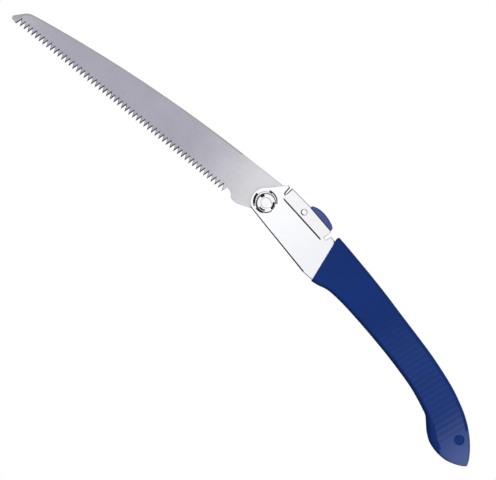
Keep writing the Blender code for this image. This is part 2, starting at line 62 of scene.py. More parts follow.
# Blade, in its own axes: X runs from the tip to the pivot
BLADE_ANGLE = 12.5
BLADE_HALF = 0.65
BEVEL_FOOT = 0.32  # heights of the two lower rings of its bevels
EDGE_HALF = 0.05
SPINE_HEIGHT = 19.2
SPINE_BOW_START = -38.0
SPINE_BOW_RADIUS = 1203.0
SPINE_STEPS = 48
NOSE = [(-234.0, 3.0), (-237.0, 2.4), (-239.8, 0.7), (-247.0, -6.9), (-247.2, -8.3), (-246.0, -9.4)]
FIRST_TOOTH = (-241.4, -10.6)
LAST_TOOTH = (-33.2, -14.1)
TOOTH_COUNT = 56
TOOTH_DEPTH = 4.9
TOOTH_TRAIL = 0.42  # share of the pitch between a tip and the gullet behind it
HEEL = [(-31.3, -9.0), (-28.0, -9.8), (-25.7, -11.6), (-25.0, -13.0), (-22.9, -14.2), (-18.6, -14.5),
        (-8.0, -10.8)]
TANG_RADIUS = 15.2
TANG_WAIST = 10.6
NOTCH_RADIUS = 13.5
NOTCH_START = 40.8
NOTCH_FOOT = 59.5
NOTCH_END = 60.9
TANG_STEP = [(7.2, 16.4), (6.2, 18.4)]  # from the notch up to the spine

# Widths of the blade's bevels at its face, its bevel foot and its edge
BLUNT = (0.15, 0.05, 0.0)
SPINE = (1.25, 0.15, 0.0)
TIP_SPINE = (1.6, 0.17, 0.0)
TOOTH_LEADS = ((0.10, 0.05, 0.0), (0.35, 0.08, 0.0))  # on either side, which the teeth swap in turn
TOOTH_TRAILS = ((1.00, 0.50, 0.0), (0.95, 0.50, 0.0))
BEVEL_FLAT = 0.98  # faces of the teeth that are flatter than this aren't ground

# Frame
PLATE_INNER = 1.75
PLATE_OUTER = 3.25
WEB_UNDERSIDE = 21.3
FRAME_TOP = 22.8
FRAME_BOTTOM = -11.9
FRAME_NOSE_RADIUS = 12.3
CUTOUT_START = 2.6
CUTOUT_END = 52.7
NECK_START = 60.0
NECK_FOOT = (72.0, -9.8)
NECK_TOP = (80.0, -4.0)
TAIL_START = 92.0
TAIL_END = 165.0
TAIL_BOTTOM = 3.0
FRAME_BEND = 1.7  # outer radius where the sheet turns into the web
FRAME_RIM = 0.3  # widths of the softened edge: in general, at the end of the nose, below and at the neck
NOSE_RIM = 0.7
FRAME_SLOPE = 1.1
NECK_RIM = 0.5
NOSE_WIDENS = 0.65  # share of the nose after which its rim gets wider
FRAME_SLIT = (2.0, 5.6, 15.2, 22.0)  # X and Y range of the rim in front of the lever that is painted black as shade
FRAME_SLIT_FACING = -0.1  # least X of the normals there

# Pivot
BOLT_RADIUS = 4.1
BUSH_INNER = BOLT_RADIUS + GAP
PIVOT_HOLE = 5.7
CUP_CENTRE = (-1.13, 0.2)  # its rim sits off the pivot's centre
CUP_RADIUS = 9.7
CUP_MIDDLE = 9.2  # radii where the slope of its rim eases
CUP_INNER = 8.65
CUP_CREST = 8.1
CUP_SHEET = 0.8
CUP_RIM = 1.0
FLANGE_RADIUS = 7.9
FLANGE_CREST = 7.15
NUT_HEIGHT = 3.6
NUT_FLATS = 6.0  # from the middle to a flat
NUT_TURN = 8.0
LOCK_DENTS = [(165.5, 15.0, 5.1, 7.4), (28.0, 28.0, 5.1, 6.9), (287.0, 25.0, 5.2, 6.5)]  # angles, radii
BOLT_END = 8.9
BOLT_DOME = 0.9
BOLT_HEAD = [(0, -7.0), (5.3, -7.0), (5.9, -6.85), (6.2, -6.4), (6.2, -5.0), (8.4, -4.75), (8.8, -4.5),
             (8.9, -4.2)]

# Painted shade and dark reflections: (which of the piece's materials, from and to an angle, from and to a
# radius)
CUP_SHADE = [(2, 36, 60, CUP_INNER, CUP_RADIUS), (1, 60, 121, CUP_INNER, CUP_RADIUS),
              (1, 100, 117, CUP_CREST, CUP_INNER), (1, 183, 250, CUP_INNER, CUP_RADIUS),
              (1, 183, 240, CUP_CREST, CUP_INNER), (1, 262, 310, CUP_CREST, CUP_INNER),
              (1, 268, 306, CUP_INNER, CUP_MIDDLE)]
NUT_SHADE = [(2, 0, 360, FLANGE_CREST, FLANGE_RADIUS), (1, 285, 360, FLANGE_CREST, FLANGE_RADIUS),
              (1, 0, 32, FLANGE_CREST, FLANGE_RADIUS)]
SHADE_FLAT = 0.97  # faces flatter than this get no painted shade

# Lever, button and small pins
LEVER_PIN = (24.6, 18.7)
LEVER_PIN_RADIUS = 1.8
LEVER_INNER = PLATE_OUTER + GAP
LEVER_OUTER = LEVER_INNER + 1.2
LEVER_SHEET = 1.2
LEVER_BEND = 1.6
LEVER_RIM = 0.25
LEVER_SLOPE = 1.2
LEVER_END = (5.5, 16.9, -0.3)  # its rim painted black as shade: most X, least Y and most X of the normals
LEVER_TOP = [(50.2, 25.6), (23.0, 25.0), (4.5, 23.4)]
BUTTON_BASE = [(24.9, 25.1), (48.8, 25.63)]
BUTTON_DOME = [(49.2, 26.6), (48.0, 28.2), (44.4, 29.5), (39.0, 30.2), (34.0, 30.1), (28.9, 28.9),
               (24.9, 26.6)]
BUTTON_HALF = 4.5
BUTTON_ROUND = 2.2
BUTTON_SWELL = (24.0, 31.0)  # X ranges in which that rounding comes in and eases off
BUTTON_EASE = (45.0, 50.0)
BUTTON_EASED = 0.6  # by this share
STOP_PIN = (20.4, 16.5)
STOP_PIN_RADIUS = 1.5
ANCHOR_PIN = (36.0, 16.2)
ANCHOR_PIN_RADIUS = 1.0
PEG_PLACES = [(31.0, 23.98), (44.0, 24.26)]
PEG_RADIUS = 1.2
SPRING_LOWER_LEG = ((38.5, 18.3), (31.5, 17.1))
SPRING_UPPER_LEG = ((31.0, 21.9), (36.0, 22.4), (39.6, 23.2))
SPRING_WIRE = 0.3
SPRING_RADIUS = 2.6
SPRING_TURNS = 2.5
SPRING_HALF = 1.05
COIL_STEPS = 28  # in each turn

# Grip: matching points along its top and bottom edges, from the collar to the end of the pommel
GRIP_TOP = [(56.3, 27.4), (68.0, 27.7), (80.0, 27.8), (95.0, 27.9), (115.0, 27.6), (135.0, 26.8),
            (155.0, 26.1), (175.0, 25.1), (192.0, 23.4), (206.0, 21.3), (216.0, 18.9), (224.0, 16.6),
            (231.0, 13.9), (238.0, 10.5), (245.0, 6.1), (251.0, 1.4), (255.4, -2.9), (257.7, -5.7),
            (258.9, -7.9), (258.8, -9.1)]
GRIP_BOTTOM = [(69.9, -11.4), (75.8, -9.3), (84.0, -5.8), (97.0, -3.8), (115.0, -2.7), (133.5, -2.2),
               (152.0, -2.2), (170.0, -2.8), (184.0, -3.8), (195.5, -5.7), (203.0, -7.3), (208.3, -8.8),
               (213.2, -12.2), (219.3, -16.4), (227.0, -19.7), (236.0, -20.4), (244.5, -19.0),
               (251.0, -16.0), (255.8, -12.7), (258.1, -10.6)]
GRIP_STEPS = 24  # rings from one pair of points to the next
GRIP_HALF = 12.0
GRIP_COLLAR_HALF = 10.6
GRIP_END_HALF = 8.0
GRIP_BLUE = (0.0029, 0.0239, 0.1480)
RIBBED_BLUE = (0.0085, 0.0316, 0.1605)
POMMEL_SHEEN_BLUE = (0.0700, 0.1040, 0.2620)
COLLAR_EDGE = 0.9  # radii of the collar's front edge and of its top corner
COLLAR_CORNER = 2.2
COLLAR_SHARE = 0.11
POMMEL_SHARE = 0.60
POMMEL_POWER = 2.4
SHOULDER = 3.8  # how far in from its outline the grip's side is rounded
HOOK_SHOULDER = 2.9  # extra width of the bevel inside the hook
HOOK_MIDDLE = 222.5
HOOK_REACH = 11.0
HOOK_FALL = 0.28  # share of the half width by which that bevel falls
SHOULDER_POWER = 2.7
SHOULDER_MOST = 0.44  # of the height, where the grip is low
SHOULDER_STEPS = 9
FLAT_STEPS = 30
SHEEN_FLAT = 0.955  # the grip's faces that are flatter than this get the material with the painted sheen
SHEEN_END = 237.5  # past here the rims of the pommel get the painted sheen as well
CROWN = 0.25
RIB_PITCH = 4.5
RIB_TURN = -8.0  # direction in which the ribs follow each other
RIB_CREST = 0.90  # how far along that direction the first crest lies
RIB_DEPTH = 0.38
RIB_START = 116.0
RIB_FULL = 200.0
RIB_LAST = 231.0
RIB_FADE = 1.5
RIB_TONE = 0.08  # how much paler and darker the ribs are painted, as painted light and shade, at first and once more at the pommel
RIB_TONE_LEAD = 1.95  # angle by which that tone leads their shape
RIB_MARGIN = 4.6  # smooth rim beside the ribs
SLOT_HALF = 2.5
POCKET_START = 40.0
SLOT_CEILING = [(POCKET_START, 14.2), (243.0, 4.2), (248.8, 0.2)]
RECESS = (239.0, -0.5)
RECESS_RADIUS = 4.1
RECESS_DEPTH = 1.0
SCREWS = {"front": (84.0, 17.0), "middle": (150.0, 15.5), "rear": (214.0, 12.0)}
SCREW_RADIUS = 1.8
SCREW_HEAD_RADIUS = 3.6
SCREW_CROSS = (1.9, 0.45)
SCREW_HEAD_TOP = -9.5
SCREW_HEAD_BOTTOM = -7.3
SCREW_TIP = 8.0

# View: straight down on the side with the nut, turned so that the grip hangs to the lower right
VIEW_TURN = 50.7
VIEW_CENTRE = Vector((0.0037, -0.0131, 0.012))
VIEW_WIDTH = 0.3894
LENS = 231.0
SENSOR = 36.0

# Light, in world metres
KEY_PLACE = Vector((1.1, 0.35, 1.2))
KEY_TARGET = Vector((0.05, 0.0, 0.0))
KEY_SIZE = 0.9
KEY_POWER = 5.0
DARK_SIDE = math.radians(241)  # direction from which the studio reflects dark
DARK_SHARE = 0.97  # by how much it is darker there
FLOOR_SIZE = 60.0
FLOOR_LEVEL = -0.0005


# ---- outlines

def arc(centre, radius, start, end, steps):
    """Points of an arc, with its angles in degrees."""
    points = []
    for step in range(steps + 1):
        angle = math.radians(start + (end - start) * step / steps)
        points.append((centre[0] + radius * math.cos(angle), centre[1] + radius * math.sin(angle)))
    return points


def smooth(points, steps):
    """A Catmull-Rom curve through the points, with so many steps from each to the next."""
    curve = []
    padded = [points[0]] + points + [points[-1]]
    for before, start, end, after in zip(padded, padded[1:], padded[2:], padded[3:]):
        for step in range(steps):
            t = step / steps
            weights = (-0.5 * t + t * t - 0.5 * t ** 3, 1 - 2.5 * t * t + 1.5 * t ** 3,
                       0.5 * t + 2 * t * t - 1.5 * t ** 3, -0.5 * t * t + 0.5 * t ** 3)
            curve.append(tuple(sum(w * p[axis] for w, p in zip(weights, (before, start, end, after)))
                               for axis in (0, 1)))
    curve.append(points[-1])
    return curve


def smoothstep(low, high, value):
    """0 below low, 1 above high and a soft step between them."""
    share = min(max((value - low) / (high - low), 0.0), 1.0)
    return share * share * (3 - 2 * share)


def rounded(corners, steps=5):
    """Corners of (x, y, radius, width) with each one rounded; the width is its leaving edge's."""
    points = []
    count = len(corners)
    for index, (x, y, radius, width) in enumerate(corners):
        before, after = corners[index - 1], corners[(index + 1) % count]
        back = Vector((before[0] - x, before[1] - y))
        onwards = Vector((after[0] - x, after[1] - y))
        half = back.angle(onwards) / 2
        reach = min(radius / math.tan(half), 0.49 * back.length, 0.49 * onwards.length)
        if radius == 0 or half > math.radians(89):
            points.append((x, y, width))
            continue
        back.normalize()
        onwards.normalize()
        middle = Vector((x, y)) + (back + onwards).normalized() * reach / math.cos(half)
        start = Vector((x, y)) + back * reach - middle
        end = Vector((x, y)) + onwards * reach - middle
        for step in range(steps + 1):
            share = step / steps
            spoke = start.normalized().slerp(end.normalized(), share) * start.length
            points.append((*(middle + spoke), before[3] * (1 - share) + width * share))
    return points


def inset(outline, widths):
    """An anticlockwise outline moved inwards, each edge by its own width, with mitred corners."""
    count = len(outline)
    edges = [(Vector(after) - Vector(point)).normalized()
             for point, after in zip(outline, outline[1:] + outline[:1])]
    points = []
    for index in range(count):
        corner = Vector(outline[index])
        arriving, leaving = edges[index - 1], edges[index]
        arriving_in = Vector((-arriving.y, arriving.x))
        leaving_in = Vector((-leaving.y, leaving.x))
        cross = arriving.x * leaving.y - arriving.y * leaving.x
        if abs(cross) < GENTLE and arriving.dot(leaving) > 0:
            middle = (arriving_in + leaving_in).normalized()
            width = (widths[index - 1] + widths[index]) / 2
            points.append(tuple(corner + middle * width / middle.dot(leaving_in)))
        else:
            start = corner + arriving_in * widths[index - 1]
            apart = corner + leaving_in * widths[index] - start
            reach = (apart.x * leaving.y - apart.y * leaving.x) / cross
            points.append(tuple(start + arriving * reach))
    return points


# ---- mesh tools

def place_object(name, data):
    """A new object in the scene."""
    made = bpy.data.objects.new(name, data)
    bpy.context.scene.collection.objects.link(made)
    return made


def world_object(name, work, turn=0.0, sharp=30):
    """A bmesh in design millimetres as an object in world metres, smooth up to an angle."""
    bmesh.ops.recalc_face_normals(work, faces=work.faces)
    mesh = bpy.data.meshes.new(name)
    work.to_mesh(mesh)
    work.free()
    mesh.transform(TO_WORLD @ Matrix.Rotation(math.radians(turn), 4, "Z"))
    mesh.shade_smooth()
    mesh.set_sharp_from_angle(angle=math.radians(sharp))
    return place_object(name, mesh)


def loft(work, rings):
    """Faces between rings of points, with the first and the last ring filled."""
    made = [[work.verts.new(point) for point in ring] for ring in rings]
    for ring, after in zip(made, made[1:]):
        for index in range(len(ring)):
            beside = (index + 1) % len(ring)
            work.faces.new((ring[index], ring[beside], after[beside], after[index]))
    work.faces.new(made[0])
    work.faces.new(made[-1])


def stack(name, outline, levels, turn=0.0):
    """A plate: one outline at several heights, inset at each by its own widths."""
    work = bmesh.new()
    loft(work, [[(x, y, z) for x, y in inset(outline, widths)] for z, widths in levels])
    return world_object(name, work, turn)


def edged_plate(name, corners, half, depth):
    """A plate of corners with (x, y, radius, width), whose rims slope down over a depth."""
    points = rounded(corners)
    outline = [(x, y) for x, y, _ in points]
    wide = [width for _, _, width in points]
    foot_wide = [width * 0.6 for width in wide]
    none = [0.0] * len(points)
    levels = [(-half, wide), (-half + depth * 0.35, foot_wide), (-half + depth, none),
              (half - depth, none), (half - depth * 0.35, foot_wide), (half, wide)]
    return stack(name, outline, levels)


def prism(name, outline, low, high):
    """A flat outline extruded from one height to another."""
    none = [0.0] * len(outline)
    return stack(name, outline, [(low, none), (high, none)])


def turned(name, profile, centre=(0.0, 0.0), segments=96):
    """A profile of (radius, height) points, with both ends on the axis, turned about a line along Z."""
    work = bmesh.new()
    rings = []
    for radius, height in profile:
        ring = arc(centre, radius, 0, 360, segments)[:-1] if radius else [centre]
        rings.append([work.verts.new((x, y, height)) for x, y in ring])
    for lower, upper in zip(rings, rings[1:]):
        for index in range(segments):
            after = (index + 1) % segments
            corners = [lower[index % len(lower)], lower[after % len(lower)],
                       upper[after % len(upper)], upper[index % len(upper)]]
            work.faces.new(list(dict.fromkeys(corners)))
    return world_object(name, work)


def swept(name, section, path):
    """A section of (outwards, height) points along a path; outwards is to the right of the path."""
    work = bmesh.new()
    rings = []
    for index, point in enumerate(path):
        before = Vector(path[max(index - 1, 0)])
        after = Vector(path[min(index + 1, len(path) - 1)])
        along = (after - before).normalized()
        rings.append([(point[0] + along.y * out, point[1] - along.x * out, height)
                      for out, height in section])
    loft(work, rings)
    return world_object(name, work)


def combine(target, tool, operation="DIFFERENCE"):
    """Cut a tool out of the target, join it on or keep what they share."""
    step = target.modifiers.new("combine", "BOOLEAN")
    step.operation = operation
    step.solver = "EXACT"
    step.object = tool
    graph = bpy.context.evaluated_depsgraph_get()
    mesh = bpy.data.meshes.new_from_object(target.evaluated_get(graph))
    target.modifiers.clear()
    target.data = mesh
    bpy.data.objects.remove(tool)


def drill(target, centre, radius, segments=48):
    """A round hole along Z, right through."""
    profile = [(0, -DEEP), (radius, -DEEP), (radius, DEEP), (0, DEEP)]
    combine(target, turned("drill", profile, centre, segments))


def bend(target, path, height, radius):
    """Round the two long edges where a sheet of a given half height turns into its web."""
    curve = arc((-radius, height - radius), radius, 0, 90, 8)
    section = curve + [(-radius, height + 1.0), (1.0, height + 1.0), (1.0, height - radius)]
    for side in (1, -1):
        combine(target, swept("bend", [(out, side * z) for out, z in section], path))


def hexagon(flats, turn=0.0):
    """A hexagon by its distance from the middle to a flat."""
    return arc((0, 0), flats / math.cos(math.radians(30)), turn, turn + 360, 6)[:-1]


def add_materials(piece, *materials):
    """More materials for a piece, in this order."""
    for made in materials:
        piece.data.materials.append(made)


def finish(piece, body, slot, node, *materials):
    """Give a fine piece its materials, and let it stand for its CAD node on its body."""
    add_materials(piece, *materials)
    piece.data.shade_smooth()
    piece.data.set_sharp_from_angle(angle=math.radians(30))
    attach(piece, body)
    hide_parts(node)


def paint_shade(piece, slot, chosen):
    """Painted shade: give sloping faces one of the piece's other, darker materials, where a test of X, Y and
    normal says so.
    """
    for face in piece.data.polygons:
        x, y, _ = (face.center - PIVOT) / MM
        if abs(face.normal.z) < SHADE_FLAT and chosen(x, y, face.normal):
            face.material_index = slot


def paint_shade_rings(piece, shade_marks, centre):
    """Paint shade on parts of the rings round a centre."""
    for slot, start, end, inner, outer in shade_marks:
        def chosen(x, y, _):
            turn = math.degrees(math.atan2(y - centre[1], x - centre[0])) % 360
            return start <= turn < end and inner < math.dist((x, y), centre) < outer
        paint_shade(piece, slot, chosen)


# ---- material tools

def new_material(name, metallic=0.0, specular=0.5):
    """A Principled material: itself, its shader and its object coordinates."""
    made = bpy.data.materials.new(name)
    made.use_nodes = True
    shader = made.node_tree.nodes["Principled BSDF"]
    shader.inputs["Metallic"].default_value = metallic
    shader.inputs["Specular IOR Level"].default_value = specular
    return made, shader, add_node(shader, "TexCoord").outputs["Object"]


def feed(socket, value):
    """Set an input to a number, a vector or a colour, or link it to an output."""
    if isinstance(value, bpy.types.NodeSocket):
        socket.id_data.links.new(value, socket)
    elif socket.type == "RGBA":
        socket.default_value = (*value, 1.0)
    else:
        socket.default_value = value


def add_node(beside, kind, inputs=None, **settings):
    """A new node in the tree of a node or socket, with its settings and its inputs."""
    made = beside.id_data.nodes.new("ShaderNode" + kind)
    for name, value in settings.items():
        setattr(made, name, value)
    for name, value in (inputs or {}).items():
        feed(made.inputs[name], value)
    return made


def mapped(place, scale=(1.0, 1.0, 1.0), turn=0.0, shift=(0.0, 0.0, 0.0)):
    """Coordinates moved by -shift, turned about Z by -turn and then scaled."""
    turning = (0.0, 0.0, math.radians(turn))
    moved = add_node(place, "Mapping", {"Vector": place, "Location": shift, "Rotation": turning},
                     vector_type="TEXTURE")
    scaled = add_node(place, "VectorMath", {0: moved.outputs["Vector"], 1: scale}, operation="MULTIPLY")
    return scaled.outputs["Vector"]


def noise(vector, scale, detail=3.0, roughness=0.5):
    """The value of a noise texture."""
    inputs = {"Vector": vector, "Scale": scale, "Detail": detail, "Roughness": roughness}
    return add_node(vector, "TexNoise", inputs).outputs["Fac"]


def ramp(value, low, high, out_low=0.0, out_high=1.0):
    """A value mapped from one range to another, with a soft step."""
    inputs = {"Value": value, "From Min": low, "From Max": high, "To Min": out_low, "To Max": out_high}
    return add_node(value, "MapRange", inputs, interpolation_type="SMOOTHSTEP").outputs["Result"]


def calculate(operation, *values):
    """A Math node on sockets or numbers, at least one of them a socket."""
    beside = next(value for value in values if isinstance(value, bpy.types.NodeSocket))
    return add_node(beside, "Math", dict(enumerate(values)), operation=operation).outputs["Value"]


def layered(*layers):
    """The sum of ramps, each given by its value and its four limits."""
    total = ramp(*layers[0])
    for layer in layers[1:]:
        total = calculate("ADD", total, ramp(*layer))
    return total


def mix(factor, first, second):
    """A mix of two colours, given as tuples or sockets."""
    inputs = {"Factor": factor, "A": first, "B": second}
    return add_node(factor, "Mix", inputs, data_type="RGBA").outputs["Result"]


def scaled_colour(colour, factor):
    """A colour, given as a tuple or socket, made lighter or darker by a factor."""
    return add_node(factor, "VectorMath", {0: colour, "Scale": factor}, operation="SCALE").outputs["Vector"]


def separate(vector):
    """The X, Y and Z of a vector."""
    made = add_node(vector, "SeparateXYZ", {"Vector": vector})
    return made.outputs["X"], made.outputs["Y"], made.outputs["Z"]


def paint(shader, colour, roughness):
    """Colour and roughness of a shader."""
    feed(shader.inputs["Base Color"], colour)
    feed(shader.inputs["Roughness"], roughness)


def bump(shader, height, strength, distance):
    """A bump from a height, in metres, after any bump that is there already."""
    made = add_node(shader, "Bump", {"Strength": strength, "Distance": distance, "Height": height})
    if shader.inputs["Normal"].links:
        feed(made.inputs["Normal"], shader.inputs["Normal"].links[0].from_socket)
    feed(shader.inputs["Normal"], made.outputs["Normal"])


# ---- materials

def from_pivot(place, turn=0.0):
    """Coordinates in metres from the pivot, with X turned by so many degrees."""
    return mapped(place, turn=turn, shift=tuple(PIVOT))


def blade_material():
    """Satin steel: lighter at the heel and the tip, brushed lengthwise, faintly mottled."""
    made, shader, place = new_material("blade_steel_satin", metallic=1.0)
    own = from_pivot(place, BLADE_ANGLE)
    along = separate(own)[0]
    heel = ramp(along, -0.085, 0.004)
    tip = ramp(along, -0.205, -0.240)
    colour = mix(heel, (0.393, 0.386, 0.452), (0.690, 0.680, 0.708))
    colour = mix(tip, colour, (0.455, 0.446, 0.510))
    lines = noise(mapped(own, scale=(1.0, 60.0, 60.0)), 45.0, detail=4.0, roughness=0.6)
    cloud = noise(own, 55.0, detail=4.0, roughness=0.55)
    specks = noise(own, 900.0, detail=2.0)
    tone = layered((lines, 0.3, 0.7, 0.955, 1.03), (cloud, 0.35, 0.65, -0.025, 0.03),
                   (specks, 0.35, 0.65, -0.02, 0.02))
    rough = layered((lines, 0.3, 0.7, 0.34, 0.42), (cloud, 0.35, 0.65, -0.03, 0.03))
    paint(shader, scaled_colour(colour, tone), rough)
    shader.inputs["Anisotropic"].default_value = 0.3
    bump(shader, lines, 0.25, 0.00002)
    return made


def tooth_material():
    """Ground facets of the teeth that face the handle: darker steel with fine cross scratches, painted shade
    on that side of each tooth.
    """
    made, shader, place = new_material("tooth_steel_painted_shade", metallic=1.0)
    own = from_pivot(place, BLADE_ANGLE)
    scratches = noise(mapped(own, scale=(40.0, 1.0, 8.0), turn=25.0), 160.0, detail=3.0)
    tint = noise(own, 140.0, detail=2.0)
    colour = mix(ramp(tint, 0.35, 0.65), (0.045, 0.042, 0.056), (0.085, 0.080, 0.098))
    tone = ramp(scratches, 0.3, 0.7, 0.8, 1.15)
    paint(shader, scaled_colour(colour, tone), ramp(scratches, 0.3, 0.7, 0.22, 0.40))
    bump(shader, scratches, 0.3, 0.00002)
    return made


def spine_material():
    """The back's bevel: plain grey steel, a little darker than the face, with fine lengthwise lines."""
    made, shader, place = new_material("spine_ground_steel", metallic=1.0)
    own = from_pivot(place, BLADE_ANGLE)
    lines = noise(mapped(own, scale=(1.0, 50.0, 50.0)), 60.0, detail=3.0)
    colour = mix(ramp(lines, 0.3, 0.7), (0.345, 0.345, 0.335), (0.405, 0.405, 0.395))
    paint(shader, colour, ramp(lines, 0.3, 0.7, 0.32, 0.44))
    bump(shader, lines, 0.25, 0.00002)
    return made


def chrome_material(name, colour, rear_shade_colour, roughness):
    """Bright plate: faint smears, very fine scratches, the slight waves of pressed sheet and painted shade
    that darkens it towards the rear.
    """
    made, shader, place = new_material(name, metallic=1.0)
    own = from_pivot(place)
    along = separate(own)[0]
    smears = noise(mapped(own, scale=(1.0, 2.5, 1.0), turn=20.0), 70.0, detail=4.0)
    waves = noise(own, 55.0, detail=1.0)
    scratches = noise(mapped(own, scale=(1.0, 45.0, 45.0), turn=4.0), 60.0, detail=3.0)
    # painted shade: the plate darkens from the nose towards the rear
    shade = mix(ramp(along, 0.008, 0.062), colour, rear_shade_colour)
    tone = layered((smears, 0.35, 0.65, 0.985, 1.0), (scratches, 0.3, 0.7, -0.008, 0.008))
    rough = layered((smears, 0.35, 0.65, roughness, roughness + 0.05), (scratches, 0.45, 0.75, 0.0, 0.03))
    paint(shader, scaled_colour(shade, tone), rough)
    bump(shader, waves, 0.20, 0.0001)
    bump(shader, scratches, 0.10, 0.000005)
    return made


def dull_metal(name, colour, spots, roughness):
    """Plated or turned small parts: cloudy colour, fine grain and uneven gloss."""
    made, shader, place = new_material(name, metallic=1.0)
    cloud = noise(place, 260.0, detail=4.0)
    grain = noise(place, 2200.0, detail=2.0)
    shade = mix(ramp(cloud, 0.35, 0.65), colour, spots)
    paint(shader, scaled_colour(shade, ramp(grain, 0.3, 0.7, 0.92, 1.06)),
          ramp(cloud, 0.3, 0.7, roughness - 0.07, roughness + 0.08))
    bump(shader, grain, 0.25, 0.00002)
    return made


def nylon_material():
    """Milky washers with a faint moulded texture."""
    made, shader, place = new_material("white_nylon_washer", specular=0.4)
    cloud = noise(place, 300.0, detail=3.0)
    paint(shader, mix(cloud, (0.80, 0.80, 0.76), (0.90, 0.90, 0.88)),
          ramp(cloud, 0.3, 0.7, 0.42, 0.55))
    bump(shader, noise(place, 1800.0), 0.2, 0.00003)
    return made


def grip_material():
    """Moulded blue plastic with a fine grain, as it is on the smooth rims and in the recess."""
    made, shader, place = new_material("blue_moulded_grip", specular=0.10)
    finish_grip(shader, place, GRIP_BLUE)
    return made


def side_sheen_material():
    """The grip's sides: the same plastic, paler on the ribs, with painted light and shade across the ribs
    and a painted sheen towards the pommel.
    """
    made, shader, place = new_material("blue_grip_painted_sheen", specular=0.10)
    own = from_pivot(place)
    along = separate(own)[0]
    colour = mix(ramp(along, 0.122, 0.165), GRIP_BLUE, RIBBED_BLUE)
    # painted sheen: a paler, greyer blue towards the pommel
    colour = mix(ramp(along, 0.210, 0.268), colour, POMMEL_SHEEN_BLUE)
    # painted light and shade across the ribs: paler and darker in turn, a little ahead of their shape
    travel = separate(from_pivot(place, RIB_TURN))[0]
    turns = calculate("MULTIPLY_ADD", travel, 2 * math.pi / (RIB_PITCH * MM), RIB_TONE_LEAD)
    painted_light = layered((travel, 0.100, 0.160, 0.0, RIB_TONE), (travel, 0.208, 0.226, 0.0, RIB_TONE))
    painted_light = calculate("MULTIPLY", painted_light, ramp(travel, RIB_LAST * MM, (RIB_LAST - RIB_FADE) * MM))
    tone = calculate("MULTIPLY_ADD", calculate("COSINE", turns), painted_light, 1.0)
    finish_grip(shader, place, scaled_colour(colour, tone))
    return made


def finish_grip(shader, place, colour):
    """Clouds, grain and uneven gloss over one of the grip's colours."""
    cloud = noise(place, 38.0, detail=4.0, roughness=0.55)
    grain = noise(place, 1500.0, detail=3.0, roughness=0.6)
    tone = layered((cloud, 0.35, 0.65, 0.95, 1.05), (grain, 0.3, 0.7, -0.06, 0.06))
    rough = layered((cloud, 0.35, 0.65, 0.44, 0.52), (grain, 0.3, 0.7, -0.03, 0.03))
    paint(shader, scaled_colour(colour, tone), rough)
    bump(shader, grain, 0.35, 0.00003)


def button_material():
    """Smoother, paler blue plastic of the thumb button."""
    made, shader, place = new_material("blue_button_plastic", specular=0.3)
    cloud = noise(place, 160.0, detail=3.0)
    grain = noise(place, 1600.0, detail=2.0)
    colour = mix(cloud, (0.034, 0.060, 0.215), (0.048, 0.080, 0.255))
    paint(shader, scaled_colour(colour, ramp(grain, 0.3, 0.7, 0.96, 1.04)),
          ramp(cloud, 0.3, 0.7, 0.32, 0.42))
    bump(shader, grain, 0.2, 0.00002)
    return made


# ---- blade

def blade_edges():
    """Corners of the blade, anticlockwise, each with the bevels that its leaving edge has."""
    edges = [((4.0, SPINE_HEIGHT), SPINE, SPINE), ((SPINE_BOW_START, SPINE_HEIGHT), SPINE, SPINE)]
    reach = SPINE_BOW_START - NOSE[0][0]
    for step in range(1, SPINE_STEPS):
        run = reach * step / SPINE_STEPS
        sag = SPINE_BOW_RADIUS - math.sqrt(SPINE_BOW_RADIUS ** 2 - run ** 2)
        edges.append(((SPINE_BOW_START - run, SPINE_HEIGHT - sag), SPINE, SPINE))
    edges += [(point, TIP_SPINE, TIP_SPINE) for point in NOSE[:4]]
    edges += [(point, BLUNT, BLUNT) for point in NOSE[4:]]
    first, last = Vector(FIRST_TOOTH), Vector(LAST_TOOTH)
    pitch = (last - first) / (TOOTH_COUNT - 1)
    inwards = Vector((-pitch.y, pitch.x)).normalized() * TOOTH_DEPTH
    for index in range(TOOTH_COUNT - 1):
        tip = first + pitch * index
        gullet = tip + pitch * TOOTH_TRAIL + inwards
        odd = index % 2
        edges.append((tuple(tip), TOOTH_TRAILS[odd], TOOTH_TRAILS[1 - odd]))
        edges.append((tuple(gullet), TOOTH_LEADS[1 - odd], TOOTH_LEADS[odd]))
    edges.append((LAST_TOOTH, BLUNT, BLUNT))
    tang = HEEL + arc((0, 0), TANG_WAIST, -115, -70, 12) + arc((0, 0), TANG_RADIUS, -42, NOTCH_START, 24)
    tang += arc((0, 0), NOTCH_RADIUS, NOTCH_START, NOTCH_FOOT, 4)
    tang += arc((0, 0), TANG_RADIUS, NOTCH_END, NOTCH_END, 1)[:1] + TANG_STEP
    return edges + [(point, BLUNT, BLUNT) for point in tang]


def build_blade(satin, ground, worn):
    """The blade with bevelled back and ground teeth."""
    edges = blade_edges()
    outline = [point for point, _, _ in edges]
    front = [[widths[ring] for _, widths, _ in edges] for ring in range(3)]
    back = [[widths[ring] for _, _, widths in edges] for ring in range(3)]
    levels = [(-BLADE_HALF, back[0]), (-BEVEL_FOOT, back[1]), (-EDGE_HALF, back[2]),
              (EDGE_HALF, front[2]), (BEVEL_FOOT, front[1]), (BLADE_HALF, front[0])]
    blade = stack("fine_saw_blade", outline, levels, turn=BLADE_ANGLE)
    drill(blade, (0, 0), PIVOT_HOLE)
    finish(blade, "blade", "blade_steel", "saw_blade", satin, ground, worn)
    turn = Matrix.Rotation(math.radians(BLADE_ANGLE), 4, "Z")
    to_own = (TO_WORLD @ turn).inverted()
    for face in blade.data.polygons:
        middle = to_own @ face.center
        normal = turn.inverted() @ face.normal
        if FIRST_TOOTH[0] - 2 < middle.x < LAST_TOOTH[0] + 2 and abs(normal.z) < BEVEL_FLAT:
            # painted shade: tooth flanks facing the handle get the dark steel, flanks facing the tip stay
            # satin
            face.material_index = 2 if normal.y > 0 else int(normal.x > 0)


# ---- pivot

